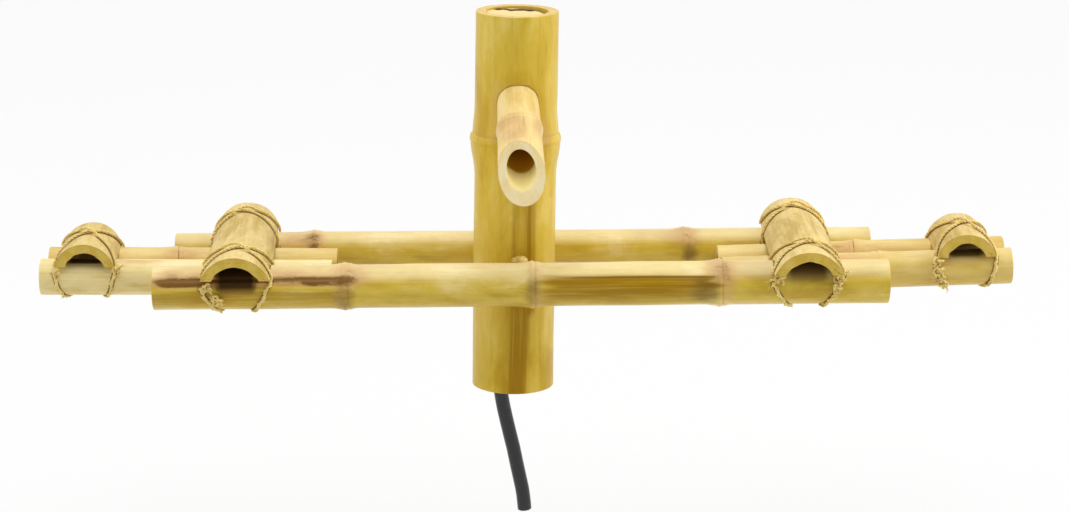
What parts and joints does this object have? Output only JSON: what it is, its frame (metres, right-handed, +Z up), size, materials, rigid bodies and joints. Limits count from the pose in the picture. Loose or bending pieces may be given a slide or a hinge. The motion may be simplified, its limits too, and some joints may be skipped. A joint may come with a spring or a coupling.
{
  "type": "pouring bamboo fountain",
  "caption": "Bamboo fountain: a hollow upright culm with a sloping spout, held between two rails with sliding lashed arms, that pours into the container it lies across.",
  "frame": {"origin": "on the upright's axis, in the plane of the undersides of the two rails, where they lie on a container's rim", "axes": "+X along the rails, to the right as seen from the front; +Z up along the upright; the spout pours towards -Y"},
  "size_m": [0.767, 0.1604, 0.4138],
  "materials": {
    "upright_culm": "satin",
    "spout_culm": "satin",
    "rail_culm": "satin",
    "arm_culm": "satin",
    "saddle_culm": "satin",
    "plug_pith": "matte",
    "dowel_wood": "matte",
    "lashing_cord": "matte",
    "hose_rubber": "gloss",
    "clear_glue": "gloss"
  },
  "bodies": {
    "frame": {"upright": "upright_culm", "top_plug": "plug_pith", "spout": "spout_culm", "hose_riser": "hose_rubber", "hose_tail": "hose_rubber", "front_rail": "rail_culm", "rear_rail": "rail_culm", "rail_dowel": "dowel_wood", "glue_bead": "clear_glue", "left_inner_saddle": "saddle_culm", "right_inner_saddle": "saddle_culm", "left_inner_front_lashing": "lashing_cord", "left_inner_rear_lashing": "lashing_cord", "right_inner_front_lashing": "lashing_cord", "right_inner_rear_lashing": "lashing_cord"},
    "left_arm": {"left_front_arm": "arm_culm", "left_rear_arm": "arm_culm", "left_outer_saddle": "saddle_culm", "left_outer_lashing": "lashing_cord"},
    "right_arm": {"right_front_arm": "arm_culm", "right_rear_arm": "arm_culm", "right_outer_saddle": "saddle_culm", "right_outer_lashing": "lashing_cord"}
  },
  "joints": [
    {"name": "left_arm_slide", "type": "slide", "parent": "frame", "child": "left_arm", "axis": [-0.9999, 0, 0.014], "range_m": [-0.008, 0.05]},
    {"name": "right_arm_slide", "type": "slide", "parent": "frame", "child": "right_arm", "axis": [0.9997, 0, 0.0244], "range_m": [-0.008, 0.05]}
  ]
}
